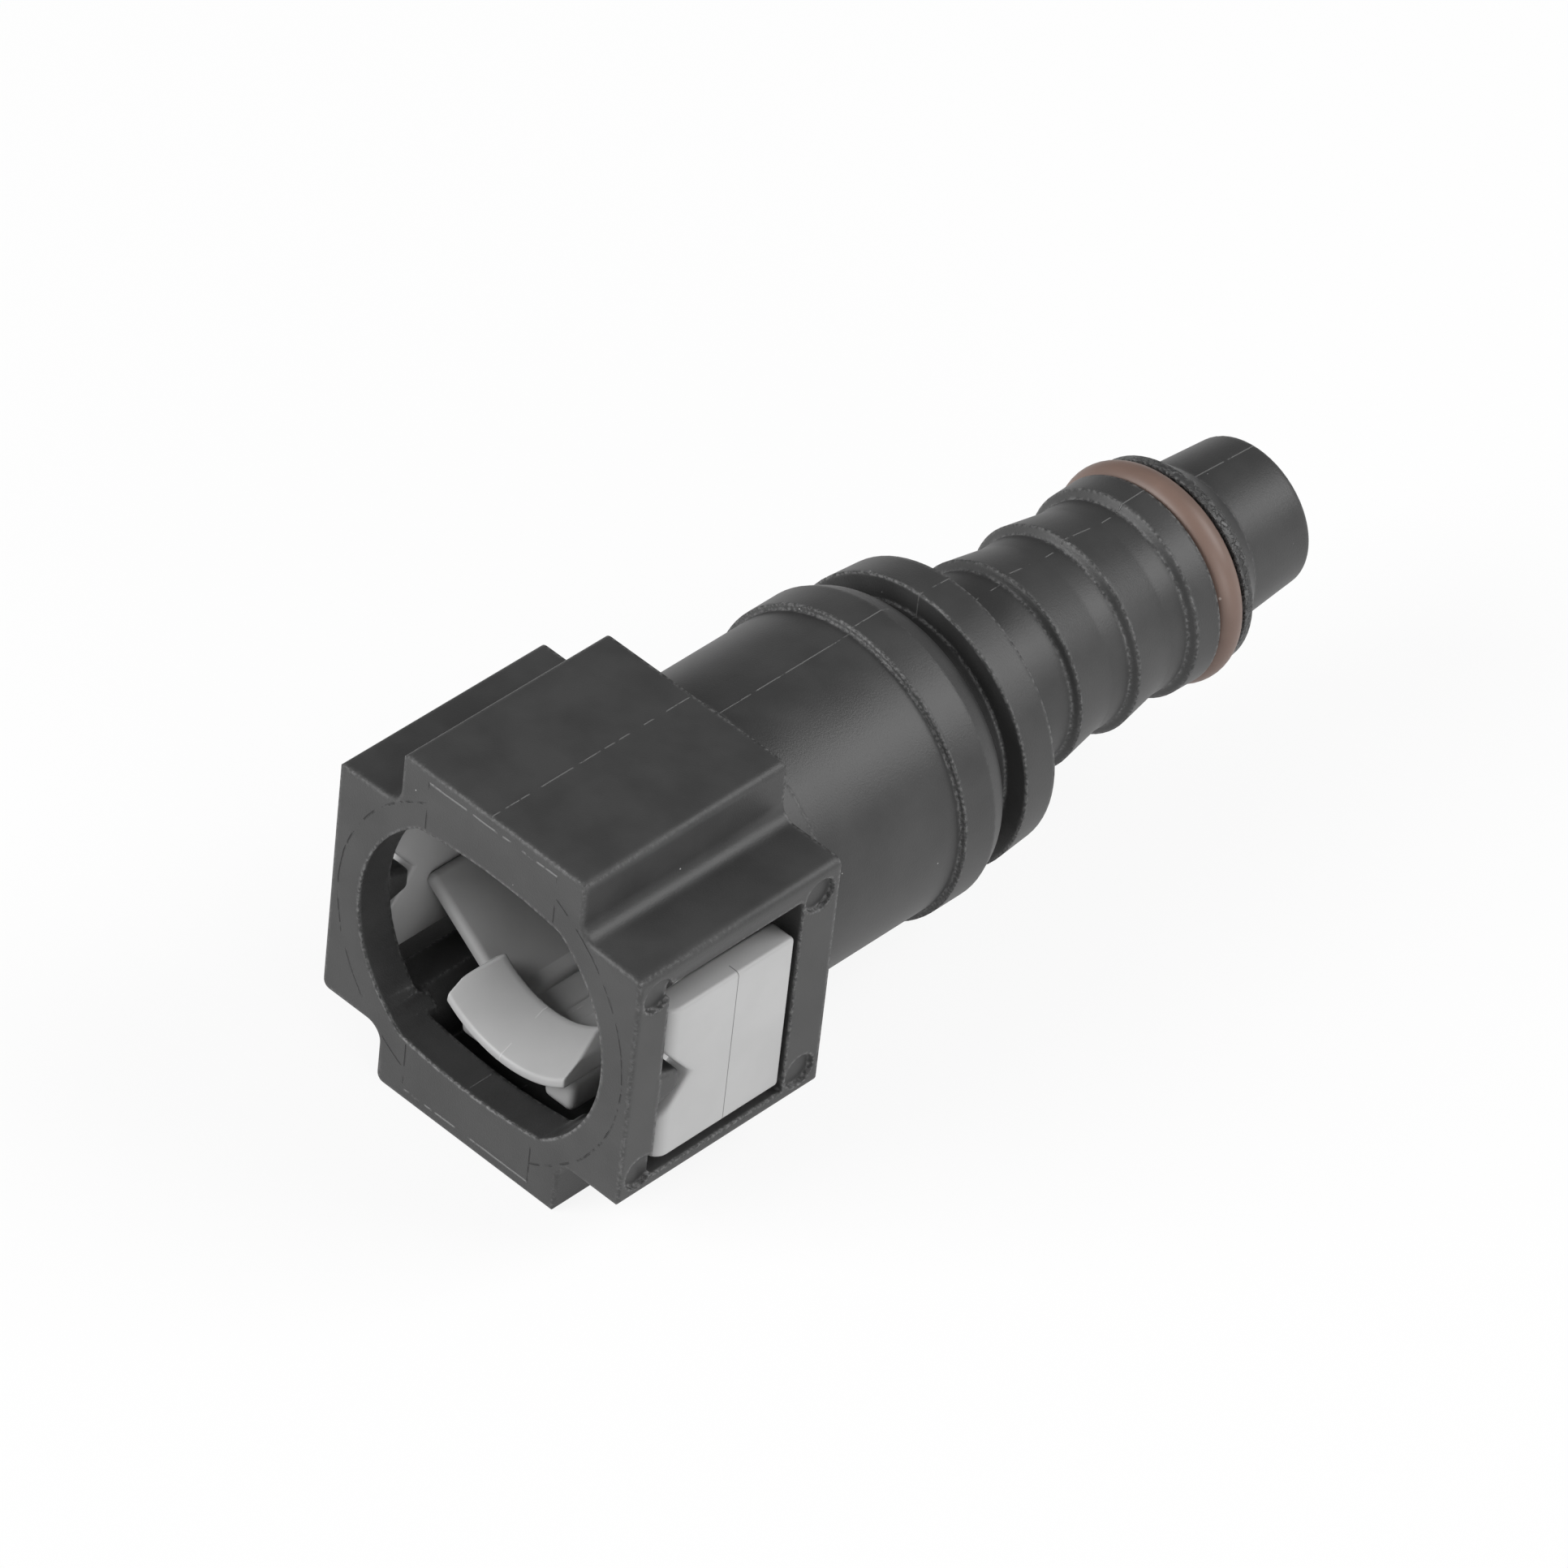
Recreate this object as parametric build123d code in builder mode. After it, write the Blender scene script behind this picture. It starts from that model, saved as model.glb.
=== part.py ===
"""Push-on quick coupling for a hose: moulded housing, two-button locking clip, seals.

The X axis runs across the two release buttons, the Y axis along the bore from the
mouth towards the hose stem, and Z up. The origin is on the bore axis where the seal
retainer's straight bore begins, behind its lead-in. All sizes are in millimetres.
"""

import os
from math import atan2, cos, degrees, hypot, radians, sin

from build123d import *

os.makedirs("parts", exist_ok=True)

# Tube that the coupling takes, and the hose stem's bore
tube_diameter = 7.89
tube_clearance = 0.105
flow_bore_radius = 2.95

# Head: a cross of two shoulders and two bosses
head_depth = 11.9
shoulder_width = 18.0
shoulder_height = 12.86
boss_width = 10.86
head_top_corner = 0.3
head_lower_corner = 0.8
head_notch_fillet = 0.8
head_face_edge = 0.2

# Mouth in the head's front wall
front_wall = 2.4
mouth_radius = 7.27
mouth_flat_radius = 24.0
mouth_flat_height = 6.3

# Chamber behind the front wall, open through a window on each side
retainer_depth = 10.0
retainer_setback = 0.2
window_front_wall = 1.85
window_height = 10.6
window_corner = 0.35
boss_end_wall = 1.0
boss_side_wall = 1.0
arm_relief_width = 0.9
arm_relief_height = 0.85
rib_reach = 1.3
rib_root = 0.2
rib_half_height = 1.3
rib_tip_radius = 0.25
rib_inner_x = 7.3
rib_outer_x = 8.85

# Shallow ejector marks at the windows' corners
mark_radius = 0.85
mark_depth = 0.25
mark_edge = 1.15
mark_half_height = 5.05

# Barrel, collar band and flange
barrel_radius = 7.3
barrel_root_depth = 1.0
barrel_root_length = 1.8
barrel_root_step = 0.06
barrel_length = 9.83
collar_radius = 7.6
collar_width = 2.33
collar_edge_drop = 0.2
collar_edge_width = 0.5
collar_shoulder = 1.1
groove_root_radius = 5.9
groove_width = 1.95
flange_front_radius = 7.15
flange_back_radius = 7.0
flange_width = 1.92

# Hose stem with three barbs
stem_root_radius = 4.68
barb_crest_radius = 5.08
barb_step_length = 0.22
barb_taper_length = 2.35
barb_pitch = 3.73
barb_count = 3
first_crest_offset = 3.76
land_radius = 5.12
land_length = 1.4
pilot_cone_length = 1.35
pilot_root_radius = 3.98
pilot_tip_radius = 3.7
pilot_length = 4.05
pilot_tip_fillet = 0.3

# Ring on the stem and its gland
stem_ring_section = 1.6
stem_ring_radius = 5.38
gland_side_clearance = 0.05
gland_lip_width = 0.45
gland_lip_radius = 5.08

# Seal stack in the barrel
seal_bore_radius = 5.45
seal_fit = 0.03
seal_section = 1.55
seal_gap = 0.08
retainer_length = 3.0
retainer_snap_height = 0.2
retainer_snap_width = 0.8
retainer_snap_clearance = 0.04
spacer_length = 1.0
pilot_bore_end = 13.0
bore_lead = 0.4

# Locking clip: buttons
button_travel = 1.5
button_thickness = 1.5
button_play = 0.2
button_front_fillet = 0.8
button_top_fillet = 1.1
button_lower_fillet = 0.4
notch_clearance = 0.1
arm_end_inset = 0.25
arm_end_clearance = 0.2

# Locking clip: pads
pad_travel = 1.3
pad_front_play = 0.15
pad_inner_radius = 4.3
pad_ramp_radius = 5.7
pad_ramp_length = 1.35
pad_lock_depth = 2.6
claw_outer_radius = 5.9
claw_mouth_x = 2.4
claw_mouth_z = 3.5
claw_corner_x = 3.5
claw_corner_z = 4.04
claw_side_slope = 2.0
bead_clear_radius = 5.8
base_wall = 0.7
foot_inner_x = 1.5
foot_outer_x = 3.25
foot_setback = 0.25
foot_stand = 0.35
foot_end_clearance = 0.2
foot_corner = 0.3

# Locking clip: arms, each a stiff link between two flexures
arm_thickness = 0.7
arm_front_setback = 4.55
arm_pad_z = 4.7
knuckle_wall = 0.3
knuckle_clearance = 0.05
knuckle_side_play = 0.26

# Room for error when edges and corners are picked by their place
near = 0.01

# Stations along the bore axis
retainer_front = -bore_lead
retainer_back = retainer_front + retainer_length
head_front = retainer_front - retainer_depth
head_back = head_front + head_depth
chamber_front = head_front + front_wall
chamber_back = retainer_front - retainer_setback
window_front = head_front + window_front_wall
collar_front = head_back + barrel_length
collar_back = collar_front + collar_width
flange_front = collar_back + groove_width
flange_back = flange_front + flange_width
first_crest = flange_back + first_crest_offset
last_crest = first_crest + (barb_count - 1) * barb_pitch
gland_front = last_crest + land_length
gland_back = gland_front + stem_ring_section + 2 * gland_side_clearance
lip_back = gland_back + gland_lip_width
pilot_root = lip_back + pilot_cone_length
pilot_end = pilot_root + pilot_length
ridge_front = (retainer_front + retainer_back - retainer_snap_width) / 2
ridge_back = ridge_front + retainer_snap_width
front_seal_y = retainer_back + seal_gap + seal_section / 2
spacer_front = front_seal_y + seal_section / 2 + seal_gap
rear_seal_y = spacer_front + spacer_length + seal_gap + seal_section / 2
seal_bore_end = rear_seal_y + seal_section / 2 + seal_gap

# Fits worked out from the sizes above
tube_radius = tube_diameter / 2
tube_bore_radius = tube_radius + tube_clearance
seal_outer_radius = seal_bore_radius - seal_fit
seal_centre_radius = seal_outer_radius - seal_section / 2
ridge_radius = seal_bore_radius + retainer_snap_height - retainer_snap_clearance
gland_root_radius = stem_ring_radius - stem_ring_section
button_face = shoulder_width / 2
button_inner_x = button_face - button_thickness
button_half_height = window_height / 2 - button_play
button_front = window_front + button_play
button_back = chamber_back - button_play
pad_front = chamber_front + pad_front_play
pad_lock_back = pad_front + pad_lock_depth
foot_front = pad_front + foot_setback
arm_front = head_front + arm_front_setback
clip_back = chamber_back - button_play
foot_top = claw_corner_z + claw_side_slope * (claw_corner_x - foot_outer_x)
base_bottom = bead_clear_radius + base_wall
foot_bottom = base_bottom + foot_stand
chamber_half_width = boss_width / 2 - boss_side_wall
chamber_half_height = foot_bottom + pad_travel + foot_end_clearance
boss_height = 2 * (chamber_half_height + boss_end_wall)

# An arm's two pivots: its ends keep their distance when button and pad reach their limits
arm_end_radius = arm_thickness / 2
knuckle_radius = arm_end_radius + knuckle_clearance
knuckle_reach_x = chamber_half_width - knuckle_side_play
arm_button_x = button_inner_x - arm_end_inset
arm_pad_x = knuckle_reach_x - knuckle_radius
arm_reach = arm_button_x - arm_pad_x
arm_drop = (2 * button_travel * arm_reach - pad_travel**2 - button_travel**2) / (2 * pad_travel)
arm_button_z = arm_pad_z - arm_drop
arm_length = hypot(arm_reach, arm_drop)
arm_rest_angle = degrees(atan2(arm_drop, arm_reach))
arm_open_angle = degrees(atan2(arm_drop + pad_travel, arm_reach - button_travel))


def across(y):
    """Plane square to the bore at y, with X to the right and Z up."""
    return Plane(origin=(0, y, 0), x_dir=(1, 0, 0), z_dir=(0, -1, 0))


def swing_outline(side):
    """Corners of the space that an arm of the lower pad sweeps on the given side."""
    rest = radians(arm_rest_angle)
    opened = radians(arm_open_angle)
    near_rest = (arm_pad_x + knuckle_radius * sin(rest), -arm_pad_z - knuckle_radius * cos(rest))
    near_open = (arm_pad_x - knuckle_radius * sin(opened), -arm_pad_z + knuckle_radius * cos(opened))
    far_rest = (near_rest[0] + arm_length * cos(rest), near_rest[1] + arm_length * sin(rest))
    far_open = (near_open[0] + arm_length * cos(opened), near_open[1] + arm_length * sin(opened))
    return [(side * x, z) for x, z in (near_rest, far_rest, far_open, near_open)]


def finish(piece, label):
    """Name a finished piece and write it to its own file."""
    piece.label = label
    export_step(piece, f"parts/{label}.step")


# Housing: head, barrel and stem are one moulding
with BuildPart() as housing:
    with BuildSketch(across(head_front)) as head_outline:
        Rectangle(shoulder_width, shoulder_height)
        Rectangle(boss_width, boss_height)
        notch_corners = head_outline.vertices().filter_by(
            lambda v: abs(v.X) < shoulder_width / 2 - near and abs(v.Y) < boss_height / 2 - near
        )
        upper_corners = head_outline.vertices().filter_by(lambda v: v.Y > 0 and v not in notch_corners)
        lower_corners = head_outline.vertices().filter_by(lambda v: v.Y < 0 and v not in notch_corners)
        fillet(notch_corners, radius=head_notch_fillet)
        fillet(upper_corners, radius=head_top_corner)
        fillet(lower_corners, radius=head_lower_corner)
    extrude(amount=-head_depth)
    fillet(housing.faces().sort_by(Axis.Y)[0].edges(), radius=head_face_edge)

    # Barrel, collar, flange and stem, turned about the bore axis
    with BuildSketch(Plane.YZ):
        with BuildLine():
            outline = [
                (head_back - barrel_root_depth, 0),
                (head_back - barrel_root_depth, barrel_radius + barrel_root_step),
                (head_back + barrel_root_length, barrel_radius + barrel_root_step),
                (head_back + barrel_root_length, barrel_radius),
                (collar_front, barrel_radius),
                (collar_front, collar_radius),
                (collar_back - collar_edge_width, collar_radius),
                (collar_back, collar_radius - collar_edge_drop),
            ]
            Polyline(*outline)
            shoulder_end = (collar_back + collar_shoulder, groove_root_radius)
            TangentArc(outline[-1], shoulder_end, tangent=(collar_edge_width, -collar_edge_drop))
            stem = [
                shoulder_end,
                (flange_front, groove_root_radius),
                (flange_front, flange_front_radius),
                (flange_back, flange_back_radius),
                (flange_back, stem_root_radius),
            ]
            for barb in range(barb_count):
                crest = first_crest + barb * barb_pitch
                stem.append((crest - barb_step_length, stem_root_radius))
                stem.append((crest, barb_crest_radius))
                if barb < barb_count - 1:
                    stem.append((crest + barb_taper_length, stem_root_radius))
            stem += [
                (gland_front, land_radius),
                (gland_front, gland_root_radius),
                (gland_back, gland_root_radius),
                (gland_back, gland_lip_radius),
                (lip_back, gland_lip_radius),
                (pilot_root, pilot_root_radius),
                (pilot_end - pilot_tip_fillet, pilot_tip_radius),
            ]
            Polyline(*stem)
            TangentArc(
                stem[-1], (pilot_end, pilot_tip_radius - pilot_tip_fillet),
                tangent=(pilot_length, pilot_tip_radius - pilot_root_radius),
            )
            Polyline((pilot_end, pilot_tip_radius - pilot_tip_fillet), (pilot_end, 0), outline[0])
        make_face()
    revolve(axis=Axis.Y)

    # Seal bore, tube bore and flow bore
    with BuildSketch(Plane.YZ):
        with BuildLine():
            snap_front = ridge_front - retainer_snap_clearance
            snap_back = ridge_back + retainer_snap_clearance
            snap_radius = seal_bore_radius + retainer_snap_height
            Polyline(
                (chamber_back, 0),
                (chamber_back, seal_bore_radius),
                (snap_front, seal_bore_radius),
                (snap_front, snap_radius),
                (snap_back, snap_radius),
                (snap_back, seal_bore_radius),
                (seal_bore_end, seal_bore_radius),
                (seal_bore_end, tube_bore_radius + bore_lead),
                (seal_bore_end + bore_lead, tube_bore_radius),
                (pilot_bore_end, tube_bore_radius),
                (pilot_bore_end + tube_bore_radius - flow_bore_radius, flow_bore_radius),
                (pilot_end, flow_bore_radius),
                (pilot_end, 0),
                close=True,
            )
        make_face()
    revolve(axis=Axis.Y, mode=Mode.SUBTRACT)

    # Mouth: a round hole whose top and bottom are flatter arcs
    with BuildSketch(across(head_front)):
        Circle(mouth_radius)
        flat_offset = mouth_flat_radius - mouth_flat_height
        with Locations((0, flat_offset)):
            Circle(mouth_flat_radius, mode=Mode.INTERSECT)
        with Locations((0, -flat_offset)):
            Circle(mouth_flat_radius, mode=Mode.INTERSECT)
    extrude(amount=-(chamber_front - head_front), mode=Mode.SUBTRACT)

    # Chamber: slot for the pads, with its corners relieved where the arms swing
    with BuildSketch(across(chamber_front)):
        Rectangle(2 * chamber_half_width, 2 * chamber_half_height)
        relief_z = window_height / 2
        for side in (1, -1):
            for end in (1, -1):
                with BuildLine():
                    Polyline(
                        (side * chamber_half_width, 0),
                        (side * (chamber_half_width + arm_relief_width), end * relief_z),
                        (side * chamber_half_width, end * (relief_z + arm_relief_height)),
                        close=True,
                    )
                make_face()
    extrude(amount=-(chamber_back - chamber_front), mode=Mode.SUBTRACT)

    # Windows through both sides
    with BuildSketch(Plane.YZ):
        with Locations(((window_front + chamber_back) / 2, 0)):
            RectangleRounded(chamber_back - window_front, window_height, window_corner)
    extrude(amount=shoulder_width, both=True, mode=Mode.SUBTRACT)

    # Ribs that key the buttons at mid height
    for side in (1, -1):
        with BuildSketch(Plane.YZ.offset(side * rib_inner_x)):
            with BuildLine():
                Polyline(
                    (window_front - rib_root, rib_half_height),
                    (window_front, rib_half_height),
                    (window_front + rib_reach, 0),
                    (window_front, -rib_half_height),
                    (window_front - rib_root, -rib_half_height),
                    close=True,
                )
            make_face()
        extrude(amount=side * (rib_outer_x - rib_inner_x))
    rib_tips = housing.edges().filter_by(Axis.X).filter_by(
        lambda e: abs(e.center().Y - window_front - rib_reach) < near and abs(e.center().Z) < near
    )
    fillet(rib_tips, radius=rib_tip_radius)

    # Ejector marks
    mark_stations = (head_front + mark_edge, head_back - mark_edge)
    for side in (1, -1):
        with BuildSketch(Plane.YZ.offset(side * shoulder_width / 2)):
            with Locations([(y, z) for y in mark_stations for z in (mark_half_height, -mark_half_height)]):
                Circle(mark_radius)
        extrude(amount=-side * mark_depth, mode=Mode.SUBTRACT)
finish(housing.part, "housing")

# Seal retainer: a bush with a snap ridge, pushed in last
with BuildPart() as seal_retainer:
    with BuildSketch(Plane.YZ):
        with BuildLine():
            Polyline(
                (retainer_front, tube_bore_radius + bore_lead),
                (retainer_front, seal_outer_radius),
                (ridge_front, seal_outer_radius),
                (ridge_front, ridge_radius),
                (ridge_back, seal_outer_radius),
                (retainer_back, seal_outer_radius),
                (retainer_back, tube_bore_radius),
                (0, tube_bore_radius),
                close=True,
            )
        make_face()
    revolve(axis=Axis.Y)
finish(seal_retainer.part, "seal_retainer")

# Front seal ring
with BuildPart() as front_seal_ring:
    with BuildSketch(Plane.YZ):
        with Locations((front_seal_y, seal_centre_radius)):
            Circle(seal_section / 2)
    revolve(axis=Axis.Y)
finish(front_seal_ring.part, "front_seal_ring")

# Spacer between the two seal rings
with BuildPart() as seal_spacer:
    with BuildSketch(Plane.YZ):
        with Locations((spacer_front + spacer_length / 2, (tube_bore_radius + seal_outer_radius) / 2)):
            Rectangle(spacer_length, seal_outer_radius - tube_bore_radius)
    revolve(axis=Axis.Y)
finish(seal_spacer.part, "seal_spacer")

# Rear seal ring
with BuildPart() as rear_seal_ring:
    with BuildSketch(Plane.YZ):
        with Locations((rear_seal_y, seal_centre_radius)):
            Circle(seal_section / 2)
    revolve(axis=Axis.Y)
finish(rear_seal_ring.part, "rear_seal_ring")

# Ring in the stem's gland, which seals inside the hose
with BuildPart() as stem_ring:
    with BuildSketch(Plane.YZ):
        with Locations(((gland_front + gland_back) / 2, stem_ring_radius - stem_ring_section / 2)):
            Circle(stem_ring_section / 2)
    revolve(axis=Axis.Y)
finish(stem_ring.part, "stem_ring")

# Release button on the right, keyed by the housing's rib, with a seat for each arm's end
with BuildPart() as button_right:
    with BuildSketch(Plane.YZ.offset(button_inner_x)):
        with Locations(((button_front + button_back) / 2, 0)):
            Rectangle(button_back - button_front, 2 * button_half_height)
    extrude(amount=button_thickness)
    face_edges = button_right.faces().sort_by(Axis.X)[-1].edges()
    fillet(face_edges.filter_by(Axis.Y).sort_by(Axis.Z)[-1], radius=button_top_fillet)
    face_edges = button_right.faces().sort_by(Axis.X)[-1].edges()
    fillet(face_edges.filter_by(Axis.Z).sort_by(Axis.Y)[0], radius=button_front_fillet)
    face_edges = button_right.faces().sort_by(Axis.X)[-1].edges()
    fillet(face_edges.filter_by(Axis.Y).sort_by(Axis.Z)[0], radius=button_lower_fillet)
    notch_tip = window_front + rib_reach + notch_clearance
    notch_slope = rib_half_height / rib_reach
    notch_half_height = (notch_tip - button_front) * notch_slope
    with BuildSketch(Plane.YZ.offset(button_inner_x)):
        with BuildLine():
            Polyline(
                (button_front, notch_half_height),
                (notch_tip, 0),
                (button_front, -notch_half_height),
                close=True,
            )
        make_face()
    extrude(amount=button_thickness, mode=Mode.SUBTRACT)
    with BuildSketch(across(arm_front - arm_end_clearance)):
        with Locations((arm_button_x, arm_button_z), (arm_button_x, -arm_button_z)):
            Circle(arm_end_radius + arm_end_clearance)
    extrude(amount=-(button_back - arm_front + arm_end_clearance), mode=Mode.SUBTRACT)
finish(button_right.part, "release_button_right")

with BuildPart() as button_left:
    mirror(button_right.part, about=Plane.YZ)
finish(button_left.part, "release_button_left")

# Lower lock pad: a ramped claw that catches behind the tube's bead, on a base with two feet
with BuildPart() as pad_bottom:
    with BuildSketch(across(pad_front)):
        with BuildLine():
            Polyline(
                (-claw_mouth_x, 0),
                (-claw_mouth_x, -claw_mouth_z),
                (-claw_corner_x, -claw_corner_z),
                (-foot_outer_x, -foot_top),
                (-foot_outer_x, -claw_outer_radius),
                (foot_outer_x, -claw_outer_radius),
                (foot_outer_x, -foot_top),
                (claw_corner_x, -claw_corner_z),
                (claw_mouth_x, -claw_mouth_z),
                (claw_mouth_x, 0),
                close=True,
            )
        make_face()
        Circle(claw_outer_radius, mode=Mode.INTERSECT)
    extrude(amount=-(pad_lock_back - pad_front))

    # Feet and base, as far back as the arms
    foot_width = foot_outer_x - foot_inner_x
    with BuildSketch(across(foot_front)):
        with Locations(
            ((foot_inner_x + foot_outer_x) / 2, -(foot_top + foot_bottom) / 2),
            (-(foot_inner_x + foot_outer_x) / 2, -(foot_top + foot_bottom) / 2),
        ):
            RectangleRounded(foot_width, foot_bottom - foot_top, foot_corner)
    extrude(amount=-(clip_back - foot_front))
    with BuildSketch(across(arm_front)):
        knuckle_outer_radius = knuckle_radius + knuckle_wall
        with Locations((arm_pad_x, -arm_pad_z), (-arm_pad_x, -arm_pad_z)):
            Circle(knuckle_outer_radius)
        with Locations((0, -arm_pad_z)):
            Rectangle(2 * knuckle_reach_x, 2 * knuckle_outer_radius, mode=Mode.INTERSECT)
        with Locations((0, -(foot_top + base_bottom) / 2)):
            Rectangle(2 * foot_outer_x, base_bottom - foot_top)
    extrude(amount=-(clip_back - arm_front))

    # Way through for the tube: ramp, lock face, and room for the bead behind it
    with BuildSketch(Plane.YZ):
        with BuildLine():
            Polyline(
                (pad_front, 0),
                (pad_front, pad_ramp_radius),
                (pad_front + pad_ramp_length, pad_inner_radius),
                (pad_lock_back, pad_inner_radius),
                (pad_lock_back, bead_clear_radius),
                (clip_back, bead_clear_radius),
                (clip_back, 0),
                close=True,
            )
        make_face()
    revolve(axis=Axis.Y, mode=Mode.SUBTRACT)

    # Seats for the arms' ends, open over the angle that the arms swing through
    with BuildSketch(across(arm_front)):
        for side in (1, -1):
            with Locations((side * arm_pad_x, -arm_pad_z)):
                Circle(knuckle_radius)
            with BuildLine():
                Polyline(*swing_outline(side), close=True)
            make_face()
    extrude(amount=-(clip_back - arm_front), mode=Mode.SUBTRACT)
finish(pad_bottom.part, "lock_pad_bottom")

with BuildPart() as pad_top:
    mirror(pad_bottom.part, about=Plane.XY)
finish(pad_top.part, "lock_pad_top")

# Spring arms between the buttons and the pads
for level, height_sign in (("lower", -1), ("upper", 1)):
    for hand, side in (("right", 1), ("left", -1)):
        with BuildPart() as arm:
            with BuildSketch(across(arm_front)):
                arm_middle = (
                    side * (arm_button_x + arm_pad_x) / 2,
                    height_sign * (arm_button_z + arm_pad_z) / 2,
                )
                with Locations(arm_middle):
                    SlotCenterToCenter(
                        arm_length, arm_thickness, rotation=-side * height_sign * arm_rest_angle
                    )
            extrude(amount=-(clip_back - arm_front))
        finish(arm.part, f"spring_arm_{level}_{hand}")
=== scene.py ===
# %% [markdown]
# A push-on hose coupling: how to dress a CAD model in Blender
#
# The housing is one moulding of black nylon filled with short glass fibre. The locking
# clip inside its head is a pale grey, unfilled plastic. A brown rubber ring sits in the
# gland of the hose stem, and two black seals sit between bushes in the bore.
# The CAD model gives the places and the motion. This lesson adds the camera and the light,
# makes the housing's head and the clip again with more of their form than the CAD model
# has, and gives each plastic its finish and the small marks that moulding leaves.

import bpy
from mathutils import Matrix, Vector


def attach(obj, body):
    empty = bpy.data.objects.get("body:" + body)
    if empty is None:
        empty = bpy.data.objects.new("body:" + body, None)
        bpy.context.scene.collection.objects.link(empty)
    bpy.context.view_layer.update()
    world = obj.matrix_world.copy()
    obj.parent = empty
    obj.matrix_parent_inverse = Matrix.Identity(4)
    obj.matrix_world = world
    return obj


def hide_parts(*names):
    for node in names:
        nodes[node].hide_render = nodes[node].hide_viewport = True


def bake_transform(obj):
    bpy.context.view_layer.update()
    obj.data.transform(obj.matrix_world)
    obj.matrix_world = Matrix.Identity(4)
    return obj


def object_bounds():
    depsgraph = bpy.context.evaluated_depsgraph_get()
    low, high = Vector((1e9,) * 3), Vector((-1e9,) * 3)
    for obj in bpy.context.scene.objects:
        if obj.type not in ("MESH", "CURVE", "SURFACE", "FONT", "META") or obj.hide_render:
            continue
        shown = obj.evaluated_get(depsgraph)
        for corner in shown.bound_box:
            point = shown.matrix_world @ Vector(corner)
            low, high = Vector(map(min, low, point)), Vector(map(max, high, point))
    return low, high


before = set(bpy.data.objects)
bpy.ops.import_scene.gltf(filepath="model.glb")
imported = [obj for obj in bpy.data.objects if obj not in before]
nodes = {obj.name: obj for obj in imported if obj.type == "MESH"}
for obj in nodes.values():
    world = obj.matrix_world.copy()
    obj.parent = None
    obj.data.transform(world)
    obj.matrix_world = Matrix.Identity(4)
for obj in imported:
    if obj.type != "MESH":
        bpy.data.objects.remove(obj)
cad_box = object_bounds()
print("CAD nodes:", ", ".join(sorted(nodes)))
print("CAD box in metres:", [[round(v, 4) for v in corner] for corner in cad_box])

# %% [markdown]
# All lengths below are in metres, as Blender wants them, but this object is smaller
# than a thumb. A value named MM keeps the numbers readable: 0.3 * MM is 0.3 millimetres.

# %% Units and helpers
import math

import bmesh
import bpy
from mathutils import Matrix, Vector

MM = 0.001
scene = bpy.context.scene


def deselect_all():
    """Operators act on what is selected, so each step starts from nothing."""
    if bpy.context.mode != "OBJECT":
        bpy.ops.object.mode_set(mode="OBJECT")
    bpy.ops.object.select_all(action="DESELECT")


def new_material(name):
    """An empty node material, with its tree and output."""
    material = bpy.data.materials.new(name)
    material.use_nodes = True
    material.node_tree.nodes.clear()
    output = material.node_tree.nodes.new("ShaderNodeOutputMaterial")
    return material, material.node_tree, output


def math_node(tree, operation, first, second=None, clamp=False):
    """A Math node; each operand is a socket or a number."""
    node = tree.nodes.new("ShaderNodeMath")
    node.operation = operation
    node.use_clamp = clamp
    for slot, value in enumerate((first, second)):
        if value is None:
            continue
        if isinstance(value, (int, float)):
            node.inputs[slot].default_value = value
        else:
            tree.links.new(value, node.inputs[slot])
    return node.outputs[0]


deselect_all()

# %% [markdown]
# The camera stands in front of the mouth, to the right and above, and it is rolled a
# little, which is why the upright edges lean. The lens is very long: the photograph has
# almost no perspective. The camera looks along its own -Z axis, so its turn is made from
# three directions: right, up and backwards.

# %% Camera at the photograph's angle
CAMERA_AZIMUTH = math.radians(39.966)
CAMERA_ELEVATION = math.radians(41.499)
CAMERA_ROLL = math.radians(6.725)
CAMERA_DISTANCE = 484.42 * MM
CAMERA_AIM = Vector((-2.102, 10.401, -2.120)) * MM
CAMERA_LENS = 256.94

backwards = Vector((
    math.cos(CAMERA_ELEVATION) * math.sin(CAMERA_AZIMUTH),
    -math.cos(CAMERA_ELEVATION) * math.cos(CAMERA_AZIMUTH),
    math.sin(CAMERA_ELEVATION),
))
level_right = Vector((0, 0, 1)).cross(backwards).normalized()
level_up = backwards.cross(level_right)
camera_right = math.cos(CAMERA_ROLL) * level_right + math.sin(CAMERA_ROLL) * level_up
camera_up = backwards.cross(camera_right)

bpy.ops.object.camera_add()
camera = bpy.context.object
camera.name = "photo_camera"
turn = Matrix((camera_right, camera_up, backwards)).transposed().to_4x4()
camera.matrix_world = Matrix.Translation(CAMERA_AIM + CAMERA_DISTANCE * backwards) @ turn
camera.data.lens = CAMERA_LENS
camera.data.clip_start = 10 * MM
camera.data.clip_end = 10
scene.camera = camera
scene.view_settings.view_transform = "Standard"
print("camera stands at", [round(v, 4) for v in camera.matrix_world.translation])

# %% [markdown]
# Upright faces of the photograph are lighter than the top. That is the white table: a
# satin surface that stands up mirrors the table towards the camera, while the top
# mirrors the dimmer back of the room. So the floor is white, also to glossy rays, and
# the world above is dimmer. The floor is part paint and part glow, so that it stays
# nearly white and still keeps a soft shadow.

# %% Floor and world
FLOOR_SIZE = 6.0
FLOOR_GLOW_SHARE = 0.88
GLOSSY_GLOW = 0.60
FLOOR_TONE = 0.86
WORLD_LEVEL = 0.27

floor_height = cad_box[0][2]
bpy.ops.mesh.primitive_plane_add(size=FLOOR_SIZE, location=(0, 0, floor_height))
floor = bpy.context.object
floor.name = "floor"


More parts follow.
